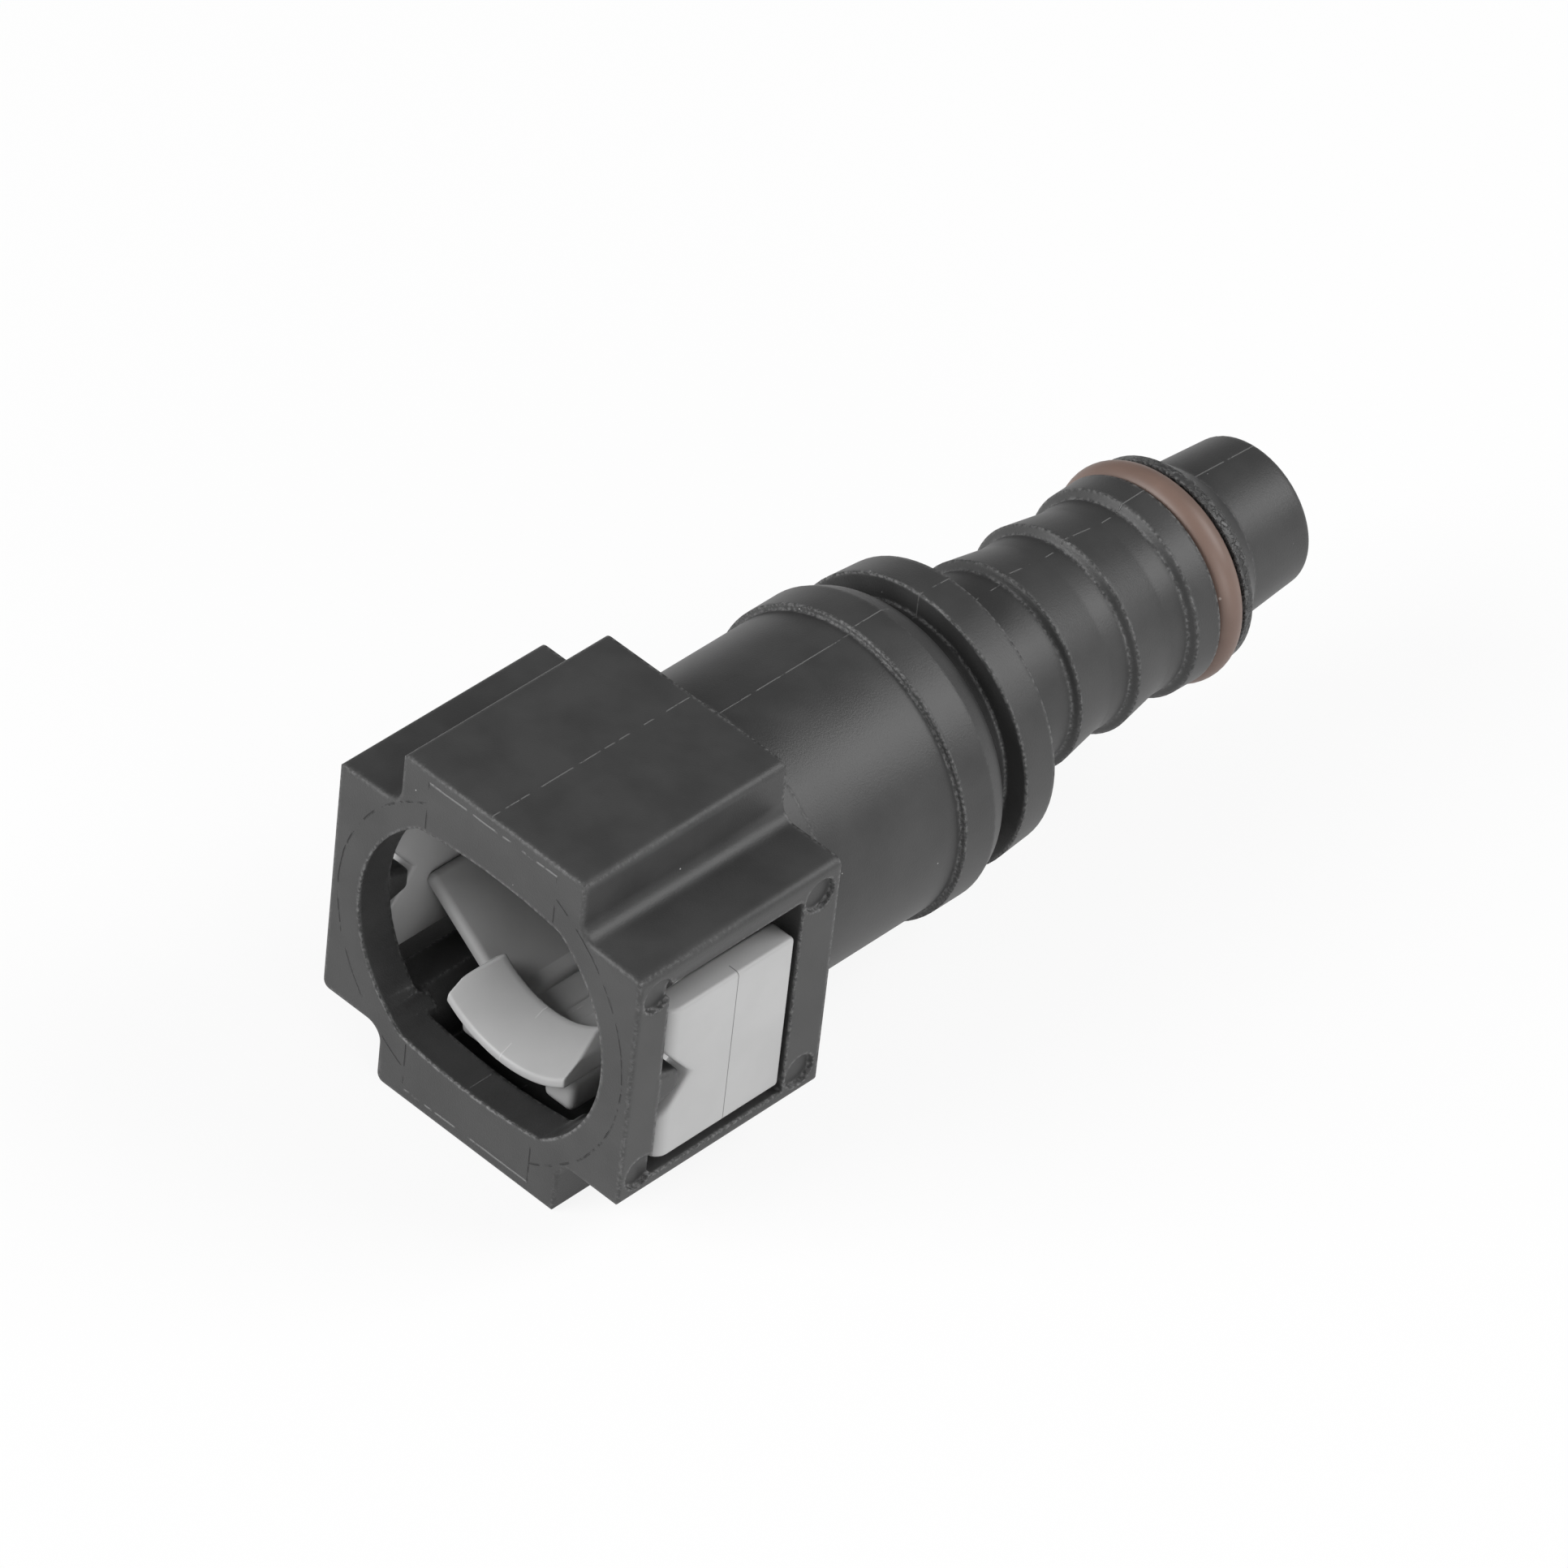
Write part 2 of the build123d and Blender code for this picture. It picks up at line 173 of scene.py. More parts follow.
floor_paint, tree, output = new_material("white_table")
paint = tree.nodes.new("ShaderNodeBsdfDiffuse")
paint.inputs["Color"].default_value = (FLOOR_TONE, FLOOR_TONE, FLOOR_TONE, 1)
glow = tree.nodes.new("ShaderNodeEmission")
glow.inputs["Color"].default_value = (1, 1, 1, 1)
glow.inputs["Strength"].default_value = 1.0
rays = tree.nodes.new("ShaderNodeLightPath")
dimmed = math_node(tree, "MULTIPLY", rays.outputs["Is Glossy Ray"], GLOSSY_GLOW)
seen = math_node(tree, "MAXIMUM", rays.outputs["Is Camera Ray"], dimmed)
share = math_node(tree, "MULTIPLY", seen, FLOOR_GLOW_SHARE)
blend = tree.nodes.new("ShaderNodeMixShader")
tree.links.new(share, blend.inputs["Fac"])
tree.links.new(paint.outputs[0], blend.inputs[1])
tree.links.new(glow.outputs[0], blend.inputs[2])
tree.links.new(blend.outputs[0], output.inputs["Surface"])
floor.data.materials.append(floor_paint)

world = bpy.data.worlds.new("studio")
scene.world = world
world.use_nodes = True
tree = world.node_tree
tree.nodes.clear()
output = tree.nodes.new("ShaderNodeOutputWorld")
rays = tree.nodes.new("ShaderNodeLightPath")
room = tree.nodes.new("ShaderNodeBackground")
room.inputs["Color"].default_value = (1, 1, 1, 1)
room.inputs["Strength"].default_value = WORLD_LEVEL
white = tree.nodes.new("ShaderNodeBackground")
white.inputs["Color"].default_value = (1, 1, 1, 1)
white.inputs["Strength"].default_value = 1.0
blend = tree.nodes.new("ShaderNodeMixShader")
tree.links.new(rays.outputs["Is Camera Ray"], blend.inputs["Fac"])
tree.links.new(room.outputs[0], blend.inputs[1])
tree.links.new(white.outputs[0], blend.inputs[2])
tree.links.new(blend.outputs[0], output.inputs["Surface"])
print("floor lies at z =", round(floor_height, 5))

# %% [markdown]
# Three soft boxes do the modelling. The first stands behind, to the right and above, and
# draws the sheen along the barrel and the rounded edges. The second stands in front, on
# the left, and opens up the mouth. The third is low on the right and lifts the side.

# %% Soft boxes
def soft_box(name, direction, distance, size, power):
    """A square area lamp that looks at the middle of the object."""
    direction = Vector(direction).normalized()
    bpy.ops.object.light_add(type="AREA", location=CAMERA_AIM + distance * direction)
    lamp = bpy.context.object
    lamp.name = name
    lamp.data.shape = "SQUARE"
    lamp.data.size = size
    lamp.data.energy = power
    lamp.rotation_euler = direction.to_track_quat("Z", "Y").to_euler()
    return lamp


soft_box("back_right_box", (0.50, 0.57, 0.65), 0.60, 0.36, 2.2)
soft_box("front_left_box", (-0.35, -0.80, 0.45), 0.70, 0.45, 4.7)
soft_box("front_right_box", (0.94, -0.26, 0.22), 0.70, 0.40, 2.0)

# %% [markdown]
# A mould has no sharp corner, and each rounded edge catches the light as a soft bright
# line. So the housing's head and the clip are made again here, a little finer, in the
# places of the CAD nodes. The head is a copy that is cut. The clip's pieces start as a box,
# a plane or a turned section. These helpers are the steps that they share.

# %% Helpers for shaping a piece
SHARP_FROM = 35
MERGE_WITHIN = 0.0005 * MM


def edit(piece):
    """Edit mode on one piece with nothing selected."""
    deselect_all()
    bpy.context.view_layer.objects.active = piece
    piece.select_set(True)
    bpy.ops.object.mode_set(mode="EDIT")
    bpy.ops.mesh.select_mode(type="EDGE")
    bpy.ops.mesh.select_all(action="DESELECT")


def box_between(name, low, high):
    """A box from its lowest to its highest corner, both in millimetres."""
    deselect_all()
    low, high = Vector(low) * MM, Vector(high) * MM
    bpy.ops.mesh.primitive_cube_add(size=1)
    piece = bpy.context.object
    piece.name = name
    bpy.ops.object.mode_set(mode="EDIT")
    bpy.ops.transform.resize(value=high - low)
    bpy.ops.transform.translate(value=(low + high) / 2)
    bpy.ops.object.mode_set(mode="OBJECT")
    return piece


def side_box(name, side, x_range, y_range, z_range):
    """A box beside the bore, on the right (side 1) or on the left (side -1)."""
    x_low, x_high = sorted(side * x for x in x_range)
    return box_between(name, (x_low, y_range[0], z_range[0]), (x_high, y_range[1], z_range[1]))


def bevel_edges(piece, test, width, segments):
    """Round the edges whose middle (in millimetres) and direction pass the test."""
    edit(piece)
    mesh = bmesh.from_edit_mesh(piece.data)
    for edge in mesh.edges:
        first, second = (v.co / MM for v in edge.verts)
        run = second - first
        if test((first + second) / 2, run.normalized()):
            edge.select_set(True)
    bmesh.update_edit_mesh(piece.data)
    bpy.ops.mesh.bevel(offset=width * MM, segments=segments, affect="EDGES",
                       clamp_overlap=False)
    bpy.ops.object.mode_set(mode="OBJECT")


def apply_modifier(piece, kind, **values):
    """Add a modifier with these values and apply it."""
    deselect_all()
    bpy.context.view_layer.objects.active = piece
    piece.select_set(True)
    modifier = piece.modifiers.new(kind.lower(), kind)
    for label, value in values.items():
        setattr(modifier, label, value)
    bpy.ops.object.modifier_apply(modifier=modifier.name)


def soften(piece, width, segments=3, angle=40):
    """Round every edge sharper than the angle, and shade the rest smooth."""
    apply_modifier(piece, "BEVEL", width=width * MM, segments=segments,
                   limit_method="ANGLE", angle_limit=math.radians(angle),
                   use_clamp_overlap=True)
    smooth(piece)


def smooth(piece):
    """Smooth shading that keeps the real corners."""
    deselect_all()
    bpy.context.view_layer.objects.active = piece
    piece.select_set(True)
    bpy.ops.object.shade_smooth_by_angle(angle=math.radians(SHARP_FROM))


def cut(piece, cutter):
    """Take the cutter's space out of the piece."""
    apply_modifier(piece, "BOOLEAN", operation="DIFFERENCE", solver="EXACT", object=cutter)
    bpy.data.objects.remove(cutter)


def join(pieces, name):
    """Join pieces into the first one."""
    deselect_all()
    for piece in pieces:
        piece.select_set(True)
    bpy.context.view_layer.objects.active = pieces[0]
    bpy.ops.object.join()
    pieces[0].name = name
    return pieces[0]


def mirrored(piece, name, sides):
    """A copy with its own mesh, turned over on the axes that sides gives as -1."""
    deselect_all()
    piece.select_set(True)
    bpy.context.view_layer.objects.active = piece
    bpy.ops.object.duplicate()
    copy = bpy.context.object
    copy.name = name
    edit(copy)
    bpy.ops.mesh.select_all(action="SELECT")
    bpy.ops.transform.resize(value=sides, center_override=(0, 0, 0))
    bpy.ops.mesh.normals_make_consistent(inside=False)
    bpy.ops.object.mode_set(mode="OBJECT")
    return copy


print("shaping helpers ready")

# %% [markdown]
# The housing is a copy of its CAD node. The copy's loose triangles are merged, the head's
# flat faces are cleared of their inner edges, and then three things are done. The front
# wall is thinned behind the mouth and each side window gets its lower sill, both by
# cutting with boxes. The eight long corners of the head are rounded, each by cutting with
# a block that a round bar has hollowed. Last, the ribs that key the buttons are made anew
# where the real ones stand, below the middle.

# %% Housing
HEAD_FRONT, HEAD_BACK = -10.4, 1.5
SHOULDER_X, SHOULDER_Z = 9.0, 6.43
BOSS_X = 5.43
CORNER, LOWER_LEFT_CORNER = 0.4, 0.8
CUTTER_SIDE_MARGIN, CUTTER_END_MARGIN = 0.3, 0.5
BAR_LENGTH, BAR_MIDDLE = 20, -4.5
NEAR = 0.02

RELIEF_LOW, RELIEF_HIGH = (-4.42, -8.55, -8.3), (4.42, -7.9, 8.3)
ROOM_X = (7.0, 9.3)
RIB_ROOM_Y, RIB_ROOM_Z = (-8.549, -7.0), (-1.5, 1.5)
SILL_ROOM_Y, SILL_ROOM_Z = (-8.549, -0.61), (-5.7, -5.0)

RIB_MIDDLE, RIB_HALF_HEIGHT = -0.85, 0.95
RIB_X, RIB_Y = (7.3, 8.95), (-8.75, -7.3)
RIB_TIP_FROM, RIB_TIP_SHARE = -7.4, 0.55


def copy_of_node(name, new_name, merged=True):
    """A copy of a CAD node's mesh, free of its body, and merged where it is to be cut."""
    deselect_all()
    copy = nodes[name].copy()
    copy.data = nodes[name].data.copy()
    copy.name = new_name
    copy.parent = None
    for label in list(copy.keys()):
        del copy[label]
    scene.collection.objects.link(copy)
    if merged:
        edit(copy)
        bpy.ops.mesh.select_all(action="SELECT")
        bpy.ops.mesh.remove_doubles(threshold=MERGE_WITHIN)
        bpy.ops.mesh.select_all(action="DESELECT")
        mesh = bmesh.from_edit_mesh(copy.data)
        for face in mesh.faces:
            face.select_set(all(v.co.y < (HEAD_BACK + NEAR) * MM for v in face.verts))
        bmesh.update_edit_mesh(copy.data)
        bpy.ops.mesh.dissolve_limited(angle_limit=math.radians(0.5))
        bpy.ops.object.mode_set(mode="OBJECT")
    return copy


def keep_faces(piece, behind_head):
    """Keep only the faces behind the head's back face, or only all the others."""
    edit(piece)
    bpy.ops.mesh.select_all(action="DESELECT")
    mesh = bmesh.from_edit_mesh(piece.data)
    for face in mesh.faces:
        depths = [v.co.y for v in face.verts]
        behind = (min(depths) > (HEAD_BACK - NEAR) * MM
                  and max(depths) > (HEAD_BACK + NEAR) * MM)
        face.select_set(behind != behind_head)
    bmesh.update_edit_mesh(piece.data)
    bpy.ops.mesh.delete(type="FACE")
    bpy.ops.object.mode_set(mode="OBJECT")


def corner_cutter(x, z, radius):
    """What a rounding takes off the head's outer corner at (x, z), all along the head."""
    x_side, z_side = (1 if x > 0 else -1), (1 if z > 0 else -1)
    centre_x, centre_z = x - x_side * radius, z - z_side * radius
    low_x, high_x = sorted((centre_x, x + x_side * CUTTER_SIDE_MARGIN))
    low_z, high_z = sorted((centre_z, z + z_side * CUTTER_SIDE_MARGIN))
    block = box_between("corner", (low_x, HEAD_FRONT - CUTTER_END_MARGIN, low_z),
                        (high_x, HEAD_BACK + CUTTER_END_MARGIN, high_z))
    deselect_all()
    bpy.ops.mesh.primitive_cylinder_add(vertices=64, radius=radius * MM,
                                        depth=BAR_LENGTH * MM)
    round_bar = bpy.context.object
    round_bar.rotation_euler = (math.pi / 2, 0, 0)
    round_bar.location = Vector((centre_x, BAR_MIDDLE, centre_z)) * MM
    bpy.context.view_layer.update()
    cut(block, round_bar)
    return block


body = copy_of_node("housing", "housing_moulding")
cut(body, box_between("mouth_relief", RELIEF_LOW, RELIEF_HIGH))
for side in (1, -1):
    cut(body, side_box("rib_room", side, ROOM_X, RIB_ROOM_Y, RIB_ROOM_Z))
    cut(body, side_box("sill_room", side, ROOM_X, SILL_ROOM_Y, SILL_ROOM_Z))

boss_top = max(v.co.z for v in body.data.vertices) / MM
for x_side in (1, -1):
    for z_side in (1, -1):
        radius = LOWER_LEFT_CORNER if x_side < 0 and z_side < 0 else CORNER
        cut(body, corner_cutter(x_side * SHOULDER_X, z_side * SHOULDER_Z, radius))
        cut(body, corner_cutter(x_side * BOSS_X, z_side * boss_top, radius))

ribs = []
for side in (1, -1):
    rib = side_box("rib", side, RIB_X, RIB_Y,
                   (RIB_MIDDLE - RIB_HALF_HEIGHT, RIB_MIDDLE + RIB_HALF_HEIGHT))
    edit(rib)
    mesh = bmesh.from_edit_mesh(rib.data)
    for vertex in mesh.verts:
        if vertex.co.y > RIB_TIP_FROM * MM:
            vertex.co.z = RIB_MIDDLE * MM + RIB_TIP_SHARE * (vertex.co.z - RIB_MIDDLE * MM)
    bmesh.update_edit_mesh(rib.data)
    bpy.ops.object.mode_set(mode="OBJECT")
    soften(rib, 0.22)
    ribs.append(rib)
body = join([body, *ribs], "housing_moulding")
smooth(body)

# The barrel and the stem weren't cut, so behind the head the faces of a second copy are
# used, which still have the exact normals of the CAD node. On the head, weighted normals
# keep the large faces flat beside their small roundings.
keep_faces(body, behind_head=False)
apply_modifier(body, "WEIGHTED_NORMAL", keep_sharp=True, weight=80)
barrel = copy_of_node("housing", "barrel_and_stem", merged=False)
keep_faces(barrel, behind_head=True)
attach(barrel, "housing")
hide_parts("housing")
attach(body, "housing")
print("head corners rounded, boss top at", round(boss_top, 2), "mm")

# %% [markdown]
# A release button is a thick tile. Its front edge is well rounded, its other edges are
# crisper, and a V notch in its front straddles the housing's rib. The notch is cut with a
# four-sided cylinder, which is a diamond when seen along its axis.

# %% Release buttons
BUTTON_X, BUTTON_Y, BUTTON_Z = (7.6, 9.0), (-8.35, -0.9), (-5.1, 3.4)
NOTCH_HALF_HEIGHT, NOTCH_DEPTH = 2.0, 1.7
NOTCH_PLACE = (8.3, -8.35, RIB_MIDDLE)
FRONT_EDGE_ROUNDING = 0.7

button = side_box("button_tile_right", 1, BUTTON_X, BUTTON_Y, BUTTON_Z)
deselect_all()
bpy.ops.mesh.primitive_cylinder_add(vertices=4, radius=1, depth=6 * MM)
diamond = bpy.context.object
bpy.ops.object.mode_set(mode="EDIT")
bpy.ops.transform.resize(value=(NOTCH_HALF_HEIGHT * MM, NOTCH_DEPTH * MM, 1))
bpy.ops.object.mode_set(mode="OBJECT")
diamond.rotation_euler = (0, math.pi / 2, 0)
diamond.location = Vector(NOTCH_PLACE) * MM
bpy.context.view_layer.update()
cut(button, diamond)
bevel_edges(button,
            lambda middle, run: middle.x > 8.9 and middle.y < -8.3 and abs(run.z) > 0.99,
            FRONT_EDGE_ROUNDING, 6)
soften(button, 0.2, 3, 30)
button_left = mirrored(button, "button_tile_left", (-1, 1, 1))
for piece, side in ((button, "right"), (button_left, "left")):
    smooth(piece)
    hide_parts("release_button_" + side)
    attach(piece, "button_" + side)
print("button tiles:", [len(p.data.polygons) for p in (button, button_left)], "faces")

# %% [markdown]
# A lock pad is a claw on a curved base, with two feet and a web on each. The claw is a
# turned shape: its section is drawn once beside the bore axis and spun round it, and the
# ends are cut off with planes. The ramp of the section is what a tube's bead slides on
# when it is pushed in.

# %% Lock pads
CLAW_SECTION = [(-8.4, 5.9), (-8.4, 5.45), (-5.95, 4.3), (-5.53, 4.3), (-5.53, 5.9)]
BASE_SECTION = [(-5.6, 5.56), (-5.6, 6.5), (-0.8, 6.5), (-0.8, 5.56)]
CLAW_HALF_ANGLE, BASE_HALF_ANGLE = 58, 45
CLAW_SIDE, CLAW_SLOPE_FROM, BASE_SIDE = 3.5, -3.7, 3.7
FOOT_X = (1.65, 3.4)
FOOT_Y, FOOT_Z = (-7.6, -0.85), (-6.85, -4.9)
WEB_Y, WEB_Z = (-5.9, -5.0), (-6.4, -5.2)


def turned_sector(name, section, half_angle):
    """Spin a section, given as (y, radius) in millimetres, round the bore axis below it."""
    deselect_all()
    bpy.ops.mesh.primitive_plane_add(size=1)
    piece = bpy.context.object
    piece.name = name
    edit(piece)
    mesh = bmesh.from_edit_mesh(piece.data)
    bmesh.ops.delete(mesh, geom=mesh.verts, context="VERTS")
    turn = math.radians(half_angle)
    ring = [mesh.verts.new((radius * math.sin(turn) * MM, y * MM, -radius * math.cos(turn) * MM))
            for y, radius in section]
    mesh.faces.new(ring).select_set(True)
    mesh.select_flush(True)
    bmesh.update_edit_mesh(piece.data)
    bpy.ops.mesh.select_all(action="SELECT")
    bpy.ops.mesh.spin(steps=28, angle=-2 * turn, center=(0, 0, 0), axis=(0, 1, 0))
    bpy.ops.mesh.select_all(action="SELECT")
    bpy.ops.mesh.remove_doubles(threshold=MERGE_WITHIN)
    bpy.ops.mesh.normals_make_consistent(inside=False)
    bpy.ops.object.mode_set(mode="OBJECT")
    return piece


def trim(piece, point, normal):
    """Cut off what lies on the normal's side of a plane, and close the cut."""
    edit(piece)
    bpy.ops.mesh.select_all(action="SELECT")
    bpy.ops.mesh.bisect(plane_co=Vector(point) * MM, plane_no=normal, use_fill=True,
                        clear_outer=True, clear_inner=False)
    bpy.ops.object.mode_set(mode="OBJECT")


claw = turned_sector("claw", CLAW_SECTION, CLAW_HALF_ANGLE)
for side in (1, -1):
    trim(claw, (side * CLAW_SIDE, 0, 0), (side, 0, 0))
    trim(claw, (side * CLAW_SIDE, 0, CLAW_SLOPE_FROM), (side * 1.2, 0, 1))
soften(claw, 0.3, 4, 28)
base = turned_sector("base", BASE_SECTION, BASE_HALF_ANGLE)
for side in (1, -1):
    trim(base, (side * BASE_SIDE, 0, 0), (side, 0, 0))
soften(base, 0.1, 2)
feet = []
for side in (1, -1):
    foot = side_box("foot", side, FOOT_X, FOOT_Y, FOOT_Z)
    soften(foot, 0.35, 4)
    feet.append(foot)
    web = side_box("web", side, FOOT_X, WEB_Y, WEB_Z)
    soften(web, 0.1, 2)
    feet.append(web)
pad = join([claw, base, *feet], "lock_pad_lower")
pad_upper = mirrored(pad, "lock_pad_upper", (1, 1, -1))
for piece, node, rides in ((pad, "lock_pad_bottom", "pad_lower"),
                           (pad_upper, "lock_pad_top", "pad_upper")):
    smooth(piece)
    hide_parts(node)
    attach(piece, rides)
print("pads:", [len(p.data.polygons) for p in (pad, pad_upper)], "faces")

# %% [markdown]
# The clip is really one moulding: four thin leaves join the buttons to the pads and bend.
# The CAD model has a stiff link for each, with a hinge at both ends. The leaf below is one
# smooth strip instead. It is laid flat at first, with its pad end spun a little round the
# bore so that it runs on along the pad's base, then it gets its thickness and its rounded
# edges and is turned into place.

# %% Leaves of the clip
LEAF_INNER = 5.5
LEAF_THICKNESS = 0.8
LEAF_LENGTH = 5.15
LEAF_TURN = 35.7
LEAF_FRONT, LEAF_BACK = -5.9, -0.95
LEAF_ARC = 33
LEAF_CUTS = 14
PAD_PIVOT_RADIUS = 6.02

deselect_all()
bpy.ops.mesh.primitive_plane_add(size=1)
leaf = bpy.context.object
leaf.name = "leaf_lower_left"
edit(leaf)
mesh = bmesh.from_edit_mesh(leaf.data)
for vertex in mesh.verts:
    vertex.co.x = (-LEAF_LENGTH if vertex.co.x < 0 else 0) * MM
    vertex.co.y = (LEAF_FRONT if vertex.co.y < 0 else LEAF_BACK) * MM
    vertex.co.z = -LEAF_INNER * MM
bmesh.update_edit_mesh(leaf.data)
mesh = bmesh.from_edit_mesh(leaf.data)
for edge in mesh.edges:
    edge.select_set(all(abs(v.co.x) < 1e-7 for v in edge.verts))
bmesh.update_edit_mesh(leaf.data)
bpy.ops.mesh.spin(steps=8, angle=math.radians(LEAF_ARC), center=(0, 0, 0), axis=(0, 1, 0))
bpy.ops.object.mode_set(mode="OBJECT")
edit(leaf)
mesh = bmesh.from_edit_mesh(leaf.data)
long_edges = [e for e in mesh.edges if abs(e.verts[0].co.x - e.verts[1].co.x) > 4 * MM]
bmesh.ops.subdivide_edges(mesh, edges=long_edges, cuts=LEAF_CUTS, use_grid_fill=True)
bmesh.update_edit_mesh(leaf.data)
bpy.ops.mesh.select_all(action="SELECT")
bpy.ops.mesh.remove_doubles(threshold=MERGE_WITHIN)
bpy.ops.mesh.normals_make_consistent(inside=False)
bpy.ops.object.mode_set(mode="OBJECT")
outwards = sum((p.normal.z for p in leaf.data.polygons)) < 0
apply_modifier(leaf, "SOLIDIFY", thickness=LEAF_THICKNESS * MM,
               offset=1.0 if outwards else -1.0, use_even_offset=True)
apply_modifier(leaf, "BEVEL", width=0.33 * MM, segments=5, limit_method="ANGLE",
               angle_limit=math.radians(50), use_clamp_overlap=False)
leaf.rotation_euler = (0, math.radians(LEAF_TURN), 0)
deselect_all()
leaf.select_set(True)
bpy.context.view_layer.objects.active = leaf
bpy.ops.object.transform_apply(location=True, rotation=True, scale=True)
leaves = [(leaf, "lower", "left", -1, -1)]
for name, side, end in (("right", 1, -1), ("left", -1, 1), ("right", 1, 1)):
    level = "lower" if end < 0 else "upper"
    copy = mirrored(leaf, "leaf_" + level + "_" + name, (-side, 1, -end))
    leaves.append((copy, level, name, side, end))
turn = math.radians(LEAF_TURN)
for piece, level, name, side, end in leaves:
    smooth(piece)
    foot = Vector((side * math.sin(turn), 0, end * math.cos(turn))) * PAD_PIVOT_RADIUS * MM
    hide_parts("spring_arm_" + level + "_" + name)
    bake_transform(piece)
for entry in leaves:
    corners = [round(find(v.co[axis] for v in entry[0].data.vertices) / MM, 2)
               for axis in range(3) for find in (min, max)]
    print("leaf box in mm:", entry[0].name, corners)

# %% [markdown]
# Four effects are shared by the plastics, so each is a node group. The first is the
# grain that the spark-eroded mould leaves on the skin. The second finds the edges: the
# Bevel node gives the normal of a rounded corner, and where that differs from the true
# normal there is an edge, which is also where handling polishes and scuffs. Patches of
# the edges are painted lighter: partly that real wear, partly a painted highlight for
# the soft bright line that a rounded edge catches. The third scatters fine pale specks
# of dust and of glass fibre that lies at the surface.

# %% Shared effect: mould grain
def new_group(name, inputs, outputs):
    """A shader node group with named float inputs (and their start values) and outputs."""
    group = bpy.data.node_groups.new(name, "ShaderNodeTree")
    for label, kind, value in inputs:
        socket = group.interface.new_socket(label, in_out="INPUT", socket_type=kind)
        if value is not None:
            socket.default_value = value
    for label, kind in outputs:
        group.interface.new_socket(label, in_out="OUTPUT", socket_type=kind)
    return group, group.nodes.new("NodeGroupInput"), group.nodes.new("NodeGroupOutput")


def ramp_node(tree, value, low, high):
    """0 below low, 1 above high, straight in between."""
    node = tree.nodes.new("ShaderNodeMapRange")
    node.inputs["From Min"].default_value = low
    node.inputs["From Max"].default_value = high
    tree.links.new(value, node.inputs["Value"])
    return node.outputs["Result"]


def noise_node(tree, place, scale, detail=3.0):
    """A noise texture on the object's own coordinates."""
    node = tree.nodes.new("ShaderNodeTexNoise")
    node.inputs["Detail"].default_value = detail
    tree.links.new(place, node.inputs["Vector"])
    if isinstance(scale, (int, float)):
        node.inputs["Scale"].default_value = scale
    else:
        tree.links.new(scale, node.inputs["Scale"])
    return node.outputs["Fac"]


grain, g_in, g_out = new_group(
    "mould_grain",
    [("Scale", "NodeSocketFloat", 9000.0)],
    [("Height", "NodeSocketFloat"), ("Tone", "NodeSocketFloat")],
)
place = grain.nodes.new("ShaderNodeTexCoord").outputs["Object"]
fine = noise_node(grain, place, g_in.outputs["Scale"], 2.0)
broad_scale = math_node(grain, "MULTIPLY", g_in.outputs["Scale"], 0.035)
broad = noise_node(grain, place, broad_scale, 4.0)
grain.links.new(fine, g_out.inputs["Height"])
grain.links.new(broad, g_out.inputs["Tone"])

# %% Shared effect: edges, for wear and a painted highlight
edges, e_in, e_out = new_group(
    "edge_finder",
    [("Width", "NodeSocketFloat", 0.25 * MM), ("Patchiness", "NodeSocketFloat", 6000.0)],
    [("Edge", "NodeSocketFloat"), ("Worn_and_highlight", "NodeSocketFloat"), ("Normal", "NodeSocketVector")],
)
rounded = edges.nodes.new("ShaderNodeBevel")
rounded.samples = 6
edges.links.new(e_in.outputs["Width"], rounded.inputs["Radius"])
true_normal = edges.nodes.new("ShaderNodeNewGeometry").outputs["Normal"]
likeness = edges.nodes.new("ShaderNodeVectorMath")
likeness.operation = "DOT_PRODUCT"
edges.links.new(rounded.outputs[0], likeness.inputs[0])
edges.links.new(true_normal, likeness.inputs[1])
turned = math_node(edges, "SUBTRACT", 1.0, likeness.outputs["Value"], clamp=True)
edge = ramp_node(edges, turned, 0.004, 0.12)
place = edges.nodes.new("ShaderNodeTexCoord").outputs["Object"]
patches = ramp_node(edges, noise_node(edges, place, e_in.outputs["Patchiness"], 4.0), 0.42, 0.66)
# Patches along the edges, for the lighter edge colour: real wear and a painted highlight.
worn_and_highlight = math_node(edges, "MULTIPLY", edge, patches)
edges.links.new(edge, e_out.inputs["Edge"])
edges.links.new(worn_and_highlight, e_out.inputs["Worn_and_highlight"])
edges.links.new(rounded.outputs[0], e_out.inputs["Normal"])

# %% Shared effect: specks
specks, s_in, s_out = new_group(
    "pale_specks",
    [("Scale", "NodeSocketFloat", 1500.0), ("Size", "NodeSocketFloat", 0.11),
     ("Share", "NodeSocketFloat", 0.08)],
    [("Mask", "NodeSocketFloat")],
)
place = specks.nodes.new("ShaderNodeTexCoord").outputs["Object"]
cells = specks.nodes.new("ShaderNodeTexVoronoi")
specks.links.new(place, cells.inputs["Vector"])
specks.links.new(s_in.outputs["Scale"], cells.inputs["Scale"])
near_centre = math_node(specks, "LESS_THAN", cells.outputs["Distance"], s_in.outputs["Size"])
lot = specks.nodes.new("ShaderNodeSeparateColor")
specks.links.new(cells.outputs["Color"], lot.inputs[0])
chosen = math_node(specks, "LESS_THAN", lot.outputs[0], s_in.outputs["Share"])
specks.links.new(math_node(specks, "MULTIPLY", near_centre, chosen), s_out.inputs["Mask"])
print("node groups:", [g.name for g in bpy.data.node_groups])

# %% [markdown]
# The fourth effect is the lines that the mould's parts leave where they meet. They are not
# shapes that need a mesh: a line is wherever a coordinate comes near a value. The parting
# line runs along the top and bottom of the housing, the core's insert leaves an arc and
# two short uprights round the mouth, and a slide leaves a line across each button. Noise
# breaks them into dashes, as real flash is broken. Near the ring, the thin lip is torn.

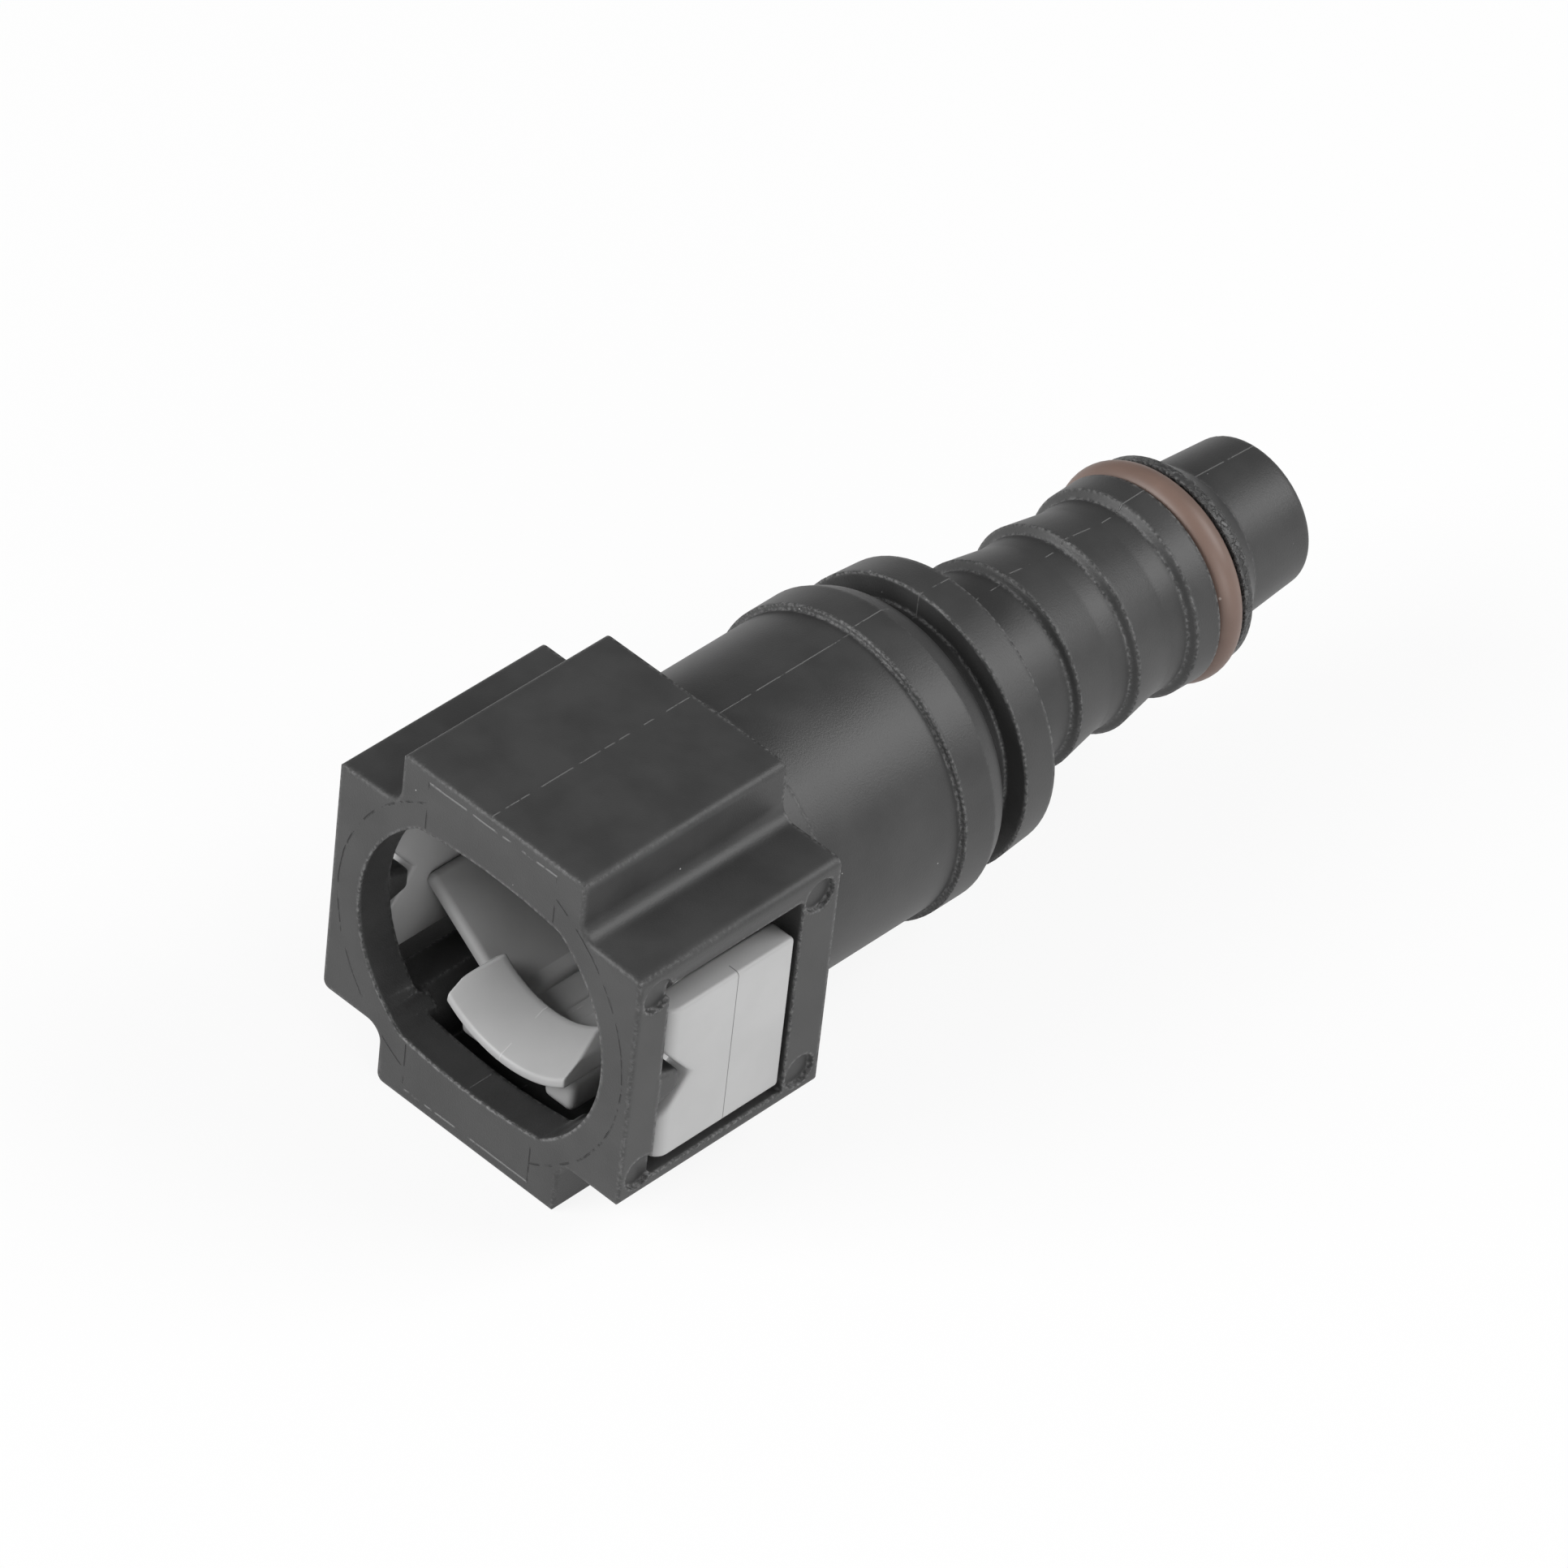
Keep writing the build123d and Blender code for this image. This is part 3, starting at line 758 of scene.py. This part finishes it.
# %% Shared effect: mould lines
ARC_RADIUS = 8.5
UPRIGHT_X, UPRIGHT_FROM, UPRIGHT_TO = 3.8, 6.2, 8.8
LEDGE_Z = 8.75
PARTING_X = -0.2
SLIDE_Y, SLIDE_FROM_X, SLIDE_TO_Z = -4.3, 8.4, 5.0
TORN_FROM, TORN_TO = 31.75, 32.6
WANDER = 0.12


def line_at(tree, value, centre, half_width):
    """1 where the value is within half a width of the centre, soft at the sides."""
    away = math_node(tree, "ABSOLUTE", math_node(tree, "SUBTRACT", value, centre))
    return ramp_node(tree, away, half_width, half_width * 0.3)


def both(tree, *masks):
    """The product of masks."""
    result = masks[0]
    for mask in masks[1:]:
        result = math_node(tree, "MULTIPLY", result, mask)
    return result


lines, l_in, l_out = new_group(
    "mould_lines",
    [("Breaks", "NodeSocketFloat", 1400.0)],
    [("Raised", "NodeSocketFloat"), ("Sunk", "NodeSocketFloat"), ("Torn", "NodeSocketFloat")],
)
place = lines.nodes.new("ShaderNodeTexCoord").outputs["Object"]
axes = lines.nodes.new("ShaderNodeSeparateXYZ")
lines.links.new(place, axes.inputs[0])
x, y, z = axes.outputs
across_x = math_node(lines, "ABSOLUTE", x)
up_z = math_node(lines, "ABSOLUTE", z)
squares = math_node(lines, "ADD", math_node(lines, "MULTIPLY", x, x),
                    math_node(lines, "MULTIPLY", z, z))
radius = math_node(lines, "SQRT", squares)
on_front = math_node(lines, "LESS_THAN", y, -10.3 * MM)
beside_lips = math_node(lines, "GREATER_THAN", across_x, UPRIGHT_X * MM)
over_lips = math_node(lines, "LESS_THAN", across_x, UPRIGHT_X * MM)
dashes = ramp_node(lines, noise_node(lines, place, l_in.outputs["Breaks"], 2.0), 0.44, 0.52)
wander = math_node(lines, "SUBTRACT", noise_node(lines, place, 900.0, 3.0), 0.5)
wander = math_node(lines, "MULTIPLY", wander, WANDER * MM)
wavy_radius = math_node(lines, "ADD", radius, wander)
wavy_z = math_node(lines, "ADD", up_z, wander)
arc = both(lines, line_at(lines, wavy_radius, ARC_RADIUS * MM, 0.055 * MM), on_front,
           beside_lips, dashes)
uprights = both(lines, line_at(lines, across_x, UPRIGHT_X * MM, 0.05 * MM), on_front,
                math_node(lines, "GREATER_THAN", up_z, UPRIGHT_FROM * MM),
                math_node(lines, "LESS_THAN", up_z, UPRIGHT_TO * MM), dashes)
ledge = both(lines, line_at(lines, wavy_z, LEDGE_Z * MM, 0.07 * MM), on_front, over_lips)
parting = both(lines, line_at(lines, x, PARTING_X * MM, 0.045 * MM), dashes,
               math_node(lines, "GREATER_THAN", y, -10.35 * MM))
slide = both(lines, line_at(lines, y, SLIDE_Y * MM, 0.03 * MM),
             math_node(lines, "GREATER_THAN", across_x, SLIDE_FROM_X * MM),
             math_node(lines, "LESS_THAN", up_z, SLIDE_TO_Z * MM))
torn = both(lines, math_node(lines, "GREATER_THAN", y, TORN_FROM * MM),
            math_node(lines, "LESS_THAN", y, TORN_TO * MM),
            ramp_node(lines, noise_node(lines, place, 4200.0, 3.0), 0.48, 0.60))
raised_lines = math_node(lines, "MAXIMUM", parting, both(lines, ledge, dashes))
sunk_lines = math_node(lines, "MAXIMUM", math_node(lines, "MAXIMUM", arc, uprights), slide)
lines.links.new(raised_lines, l_out.inputs["Raised"])
lines.links.new(sunk_lines, l_out.inputs["Sunk"])
lines.links.new(torn, l_out.inputs["Torn"])
print("mould lines are masks on object coordinates")

# %% [markdown]
# Each finish is then one Principled shader with those effects in front of it. Colours
# are mixed with Mix nodes, roughness follows the tone, and a Bump node takes the grain
# over the rounded normal, so that the grain runs round the corners.

# %% A moulded finish from the shared effects
def use_group(tree, group, **values):
    """Place a node group in a material, with its own values."""
    node = tree.nodes.new("ShaderNodeGroup")
    node.node_tree = group
    for label, value in values.items():
        node.inputs[label.replace("_", " ")].default_value = value
    return node


def mix_colours(tree, mask, first, second):
    """first where the mask is 0 and second where it is 1; each is a socket or a colour."""
    node = tree.nodes.new("ShaderNodeMix")
    node.data_type = "RGBA"
    tree.links.new(mask, node.inputs["Factor"])
    for socket, value in ((node.inputs[6], first), (node.inputs[7], second)):
        if isinstance(value, tuple):
            socket.default_value = (*value, 1)
        else:
            tree.links.new(value, socket)
    return node.outputs[2]


def moulded_finish(name, dark, light, worn_and_highlight, speck, roughness, grain_depth,
                   grain_scale=9000.0, edge_width=0.25 * MM, speck_scale=1500.0,
                   speck_size=0.11, speck_share=0.08, specular=0.5, raised=None):
    """A moulded plastic or rubber: two tones, worn edges with a painted highlight, specks and a
    fine grain.
    """
    material, tree, output = new_material(name)
    shader = tree.nodes.new("ShaderNodeBsdfPrincipled")
    shader.inputs["Specular IOR Level"].default_value = specular
    skin = use_group(tree, grain, Scale=grain_scale)
    rim = use_group(tree, edges, Width=edge_width)
    dust = use_group(tree, specks, Scale=speck_scale, Size=speck_size, Share=speck_share)
    tone = ramp_node(tree, skin.outputs["Tone"], 0.35, 0.65)
    colour = mix_colours(tree, tone, dark, light)
    # Lighter edges: real wear, and a painted highlight along the rounded edges.
    colour = mix_colours(tree, rim.outputs["Worn_and_highlight"], colour, worn_and_highlight)
    colour = mix_colours(tree, dust.outputs["Mask"], colour, speck)
    height = skin.outputs["Height"]
    if raised:
        marks = use_group(tree, lines)
        torn_share = math_node(tree, "MULTIPLY", marks.outputs["Torn"], 0.25)
        colour = mix_colours(tree, marks.outputs["Sunk"], colour, tuple(0.35 * v for v in dark))
        colour = mix_colours(tree, marks.outputs["Raised"], colour, raised)
        colour = mix_colours(tree, torn_share, colour, worn_and_highlight)
        for operation, mark, amount in (("ADD", "Raised", 4.0), ("ADD", "Torn", 9.0),
                                        ("SUBTRACT", "Sunk", 6.0)):
            change = math_node(tree, "MULTIPLY", marks.outputs[mark], amount)
            height = math_node(tree, operation, height, change)
    tree.links.new(colour, shader.inputs["Base Color"])
    change = math_node(tree, "MULTIPLY", skin.outputs["Tone"], 0.12)
    uneven = math_node(tree, "ADD", change, roughness - 0.06)
    tree.links.new(uneven, shader.inputs["Roughness"])
    bump = tree.nodes.new("ShaderNodeBump")
    bump.inputs["Distance"].default_value = grain_depth
    tree.links.new(height, bump.inputs["Height"])
    tree.links.new(rim.outputs["Normal"], bump.inputs["Normal"])
    tree.links.new(bump.outputs[0], shader.inputs["Normal"])
    tree.links.new(shader.outputs[0], output.inputs["Surface"])
    return material


# In each finish the worn colour is the lighter edge colour: real wear and a painted highlight.
black_nylon = moulded_finish(
    "black_glass_filled_nylon", dark=(0.030, 0.030, 0.030), light=(0.040, 0.040, 0.040),
    worn_and_highlight=(0.20, 0.20, 0.20), speck=(0.45, 0.45, 0.45), roughness=0.46,
    grain_depth=0.010 * MM, grain_scale=12000.0, edge_width=0.30 * MM,
    speck_scale=2200.0, speck_size=0.07, speck_share=0.025, raised=(0.13, 0.13, 0.13),
)
grey_clip = moulded_finish(
    "grey_clip_plastic", dark=(0.385, 0.385, 0.385), light=(0.415, 0.415, 0.415),
    worn_and_highlight=(0.54, 0.54, 0.54), speck=(0.60, 0.60, 0.60), roughness=0.42,
    grain_depth=0.002 * MM, edge_width=0.10 * MM, speck_scale=2200.0, speck_size=0.07,
    speck_share=0.01, raised=(0.50, 0.50, 0.50),
)
brown_rubber = moulded_finish(
    "brown_ring_rubber", dark=(0.140, 0.090, 0.072), light=(0.170, 0.112, 0.090),
    worn_and_highlight=(0.24, 0.17, 0.14), speck=(0.36, 0.30, 0.27), roughness=0.46,
    grain_depth=0.003 * MM, edge_width=0.10 * MM, speck_share=0.05,
)
seal_rubber = moulded_finish(
    "black_seal_rubber", dark=(0.016, 0.016, 0.016), light=(0.022, 0.022, 0.022),
    worn_and_highlight=(0.04, 0.04, 0.04), speck=(0.10, 0.10, 0.10), roughness=0.40,
    grain_depth=0.002 * MM, edge_width=0.10 * MM, speck_share=0.02,
)
bush_plastic = moulded_finish(
    "dark_bush_plastic", dark=(0.040, 0.040, 0.040), light=(0.052, 0.052, 0.052),
    worn_and_highlight=(0.12, 0.12, 0.12), speck=(0.30, 0.30, 0.30), roughness=0.45,
    grain_depth=0.003 * MM, edge_width=0.15 * MM, speck_share=0.03,
)

# %% [markdown]
# The CAD nodes keep their meshes. A finish is given to them by filling their material
# slots, chosen by the node's name, and the new pieces get the finish of what they are.

# %% Finishes on the CAD nodes
def finish_for(name):
    """The finish of a CAD node, from what the piece is."""
    if name == "housing":
        return black_nylon
    if name == "stem_ring":
        return brown_rubber
    if name.endswith("seal_ring"):
        return seal_rubber
    if name in ("seal_retainer", "seal_spacer"):
        return bush_plastic
    return grey_clip


def fill_slots(piece, finish):
    """Give every slot of a piece one finish, with a new slot where it has none."""
    if not piece.data.materials:
        piece.data.materials.append(finish)
    for index in range(len(piece.material_slots)):
        piece.material_slots[index].material = finish


for name, node in nodes.items():
    fill_slots(node, finish_for(name))
housing_pieces = [body, barrel]
clip_pieces = [button, button_left, pad, pad_upper, *(entry[0] for entry in leaves)]
for piece in housing_pieces:
    fill_slots(piece, black_nylon)
for piece in clip_pieces:
    fill_slots(piece, grey_clip)
print("finished", len(nodes), "CAD nodes and", len(housing_pieces + clip_pieces), "pieces")
